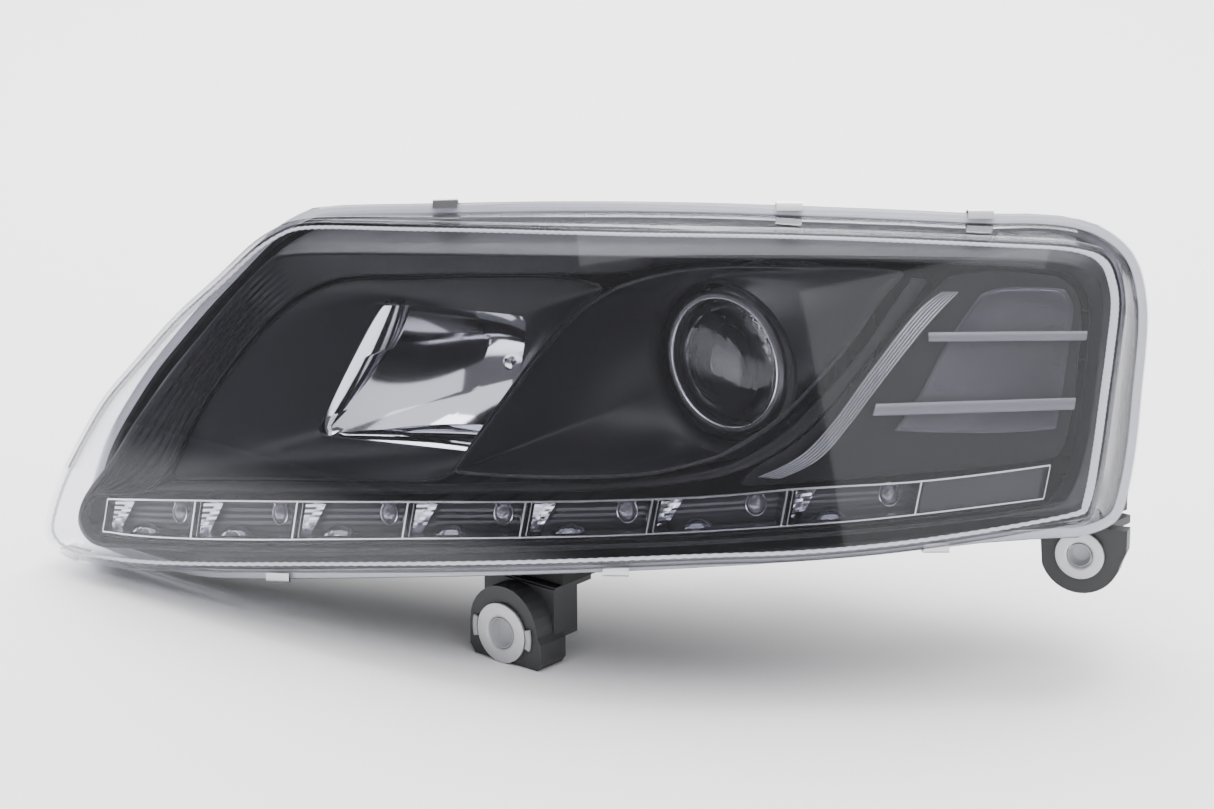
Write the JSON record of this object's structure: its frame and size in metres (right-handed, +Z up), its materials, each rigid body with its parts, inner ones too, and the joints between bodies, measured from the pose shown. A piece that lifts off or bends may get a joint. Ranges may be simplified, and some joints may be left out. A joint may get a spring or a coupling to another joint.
{
  "type": "car headlight assembly",
  "caption": "Wraparound front lamp of a car: clear cover over an aimed projector, high-beam bowl, turn signal and daytime-light bar, in a black housing with two bolt brackets.",
  "frame": {"origin": "where the centre bracket's bolt axis meets the back face of its bush", "axes": "the lamp looks along -Y, +Z is up and +X runs outwards, towards the wing"},
  "size_m": [0.6228, 0.3591, 0.2709],
  "materials": {
    "clear_polycarbonate": "clear, polished",
    "satin_black_bezel": "fine satin grain",
    "housing_black": "matt, moulded",
    "vacuum_chrome": "bright, metallised",
    "bush_silver": "pale, sand-blasted",
    "clip_steel": "satin spring steel",
    "seal_rubber": "matt",
    "lens_glass": "clear, polished",
    "circuit_board": "lacquered",
    "natural_nylon": "satin",
    "dark_cast_metal": "dark cast metal",
    "smoked_plastic": "smoked, polished"
  },
  "bodies": {
    "housing": {"outer_lens": "clear_polycarbonate", "lens_seal": "seal_rubber", "rear_housing": "housing_black", "top_clip_1": "clip_steel", "top_clip_2": "clip_steel", "top_clip_3": "clip_steel", "bottom_clip_1": "clip_steel", "bottom_clip_2": "clip_steel", "bottom_clip_3": "clip_steel", "bezel_frame": "satin_black_bezel", "high_beam_well": "satin_black_bezel", "projector_shroud": "satin_black_bezel", "bezel_land": "satin_black_bezel", "light_guide": "clear_polycarbonate", "turn_bezel": "satin_black_bezel", "turn_reflector": "vacuum_chrome", "turn_inner_lens": "smoked_plastic", "turn_bar_upper": "smoked_plastic", "turn_bar_lower": "smoked_plastic", "drl_frame": "vacuum_chrome", "drl_optic_1": "clear_polycarbonate", "drl_optic_2": "clear_polycarbonate", "drl_optic_3": "clear_polycarbonate", "drl_optic_4": "clear_polycarbonate", "drl_optic_5": "clear_polycarbonate", "drl_optic_6": "clear_polycarbonate", "drl_optic_7": "clear_polycarbonate", "drl_circuit_board": "circuit_board", "left_pivot_post": "housing_black", "right_pivot_post": "housing_black", "levelling_motor": "housing_black", "light_driver": "dark_cast_metal", "main_connector": "housing_black", "breather_cap": "seal_rubber", "centre_bracket": "housing_black", "centre_bush": "bush_silver", "side_bracket": "housing_black", "side_bush": "bush_silver"},
    "carrier": {"carrier_frame": "housing_black", "high_beam_reflector": "vacuum_chrome", "high_beam_bulb": "lens_glass"},
    "projector": {"projector_ring": "dark_cast_metal", "projector_lens": "lens_glass", "lens_holder": "dark_cast_metal", "projector_yoke": "housing_black", "projector_shutter": "dark_cast_metal", "projector_bowl": "dark_cast_metal", "low_beam_bulb": "lens_glass"},
    "pushrod": {"motor_pushrod": "natural_nylon"},
    "vertical_adjuster": {"vertical_adjuster": "natural_nylon"},
    "horizontal_adjuster": {"horizontal_adjuster": "natural_nylon"},
    "low_beam_cap": {"low_beam_cap": "housing_black", "low_beam_cap_seal": "seal_rubber"},
    "high_beam_cap": {"high_beam_cap": "housing_black", "high_beam_cap_seal": "seal_rubber"},
    "turn_holder": {"turn_bulb_holder": "housing_black", "turn_bulb": "lens_glass"},
    "high_bulb_clip": {"high_bulb_clip": "clip_steel"},
    "low_bulb_clip": {"low_bulb_clip": "clip_steel"}
  },
  "joints": [
    {"name": "vertical_aim", "type": "hinge", "parent": "housing", "child": "carrier", "pos_m": [0.074, 0.1075, 0.157], "axis": [1, 0, 0], "range_deg": [-2, 2]},
    {"name": "horizontal_aim", "type": "hinge", "parent": "carrier", "child": "projector", "pos_m": [0.09, 0.1075, 0.16], "axis": [0, 0, 1], "range_deg": [-2.5, 2.5]},
    {"name": "pushrod_slide", "type": "slide", "parent": "housing", "child": "pushrod", "axis": [0, 1, 0], "range_m": [-0.0018, 0.0018]},
    {"name": "vertical_adjuster_turn", "type": "hinge", "parent": "housing", "child": "vertical_adjuster", "pos_m": [0.024, 0.2235, 0.11], "axis": [0, 1, 0], "range_deg": [-200, 200]},
    {"name": "horizontal_adjuster_turn", "type": "hinge", "parent": "housing", "child": "horizontal_adjuster", "pos_m": [0.016, 0.1885, 0.172], "axis": [0, 1, 0], "range_deg": [-400, 400]},
    {"name": "low_beam_cap_pull", "type": "slide", "parent": "housing", "child": "low_beam_cap", "axis": [0, 1, 0], "range_m": [0, 0.06]},
    {"name": "high_beam_cap_pull", "type": "slide", "parent": "housing", "child": "high_beam_cap", "axis": [0, 1, 0], "range_m": [0, 0.06]},
    {"name": "turn_holder_turn", "type": "hinge", "parent": "housing", "child": "turn_holder", "pos_m": [0.219, 0.2635, 0.161], "axis": [0, 1, 0], "range_deg": [0, 45]},
    {"name": "high_bulb_clip_swing", "type": "hinge", "parent": "carrier", "child": "high_bulb_clip", "pos_m": [-0.064, 0.0765, 0.142], "axis": [0, 0, 1], "range_deg": [0, 70]},
    {"name": "low_bulb_clip_swing", "type": "hinge", "parent": "projector", "child": "low_bulb_clip", "pos_m": [0.07, 0.184, 0.16], "axis": [0, 0, 1], "range_deg": [0, 70]}
  ],
  "couplings": [
    {"joint": "pushrod_slide", "follows": "vertical_aim", "m_per_rad": 0.047},
    {"joint": "vertical_adjuster_turn", "follows": "vertical_aim", "ratio": 98.4},
    {"joint": "horizontal_adjuster_turn", "follows": "horizontal_aim", "ratio": 155}
  ]
}
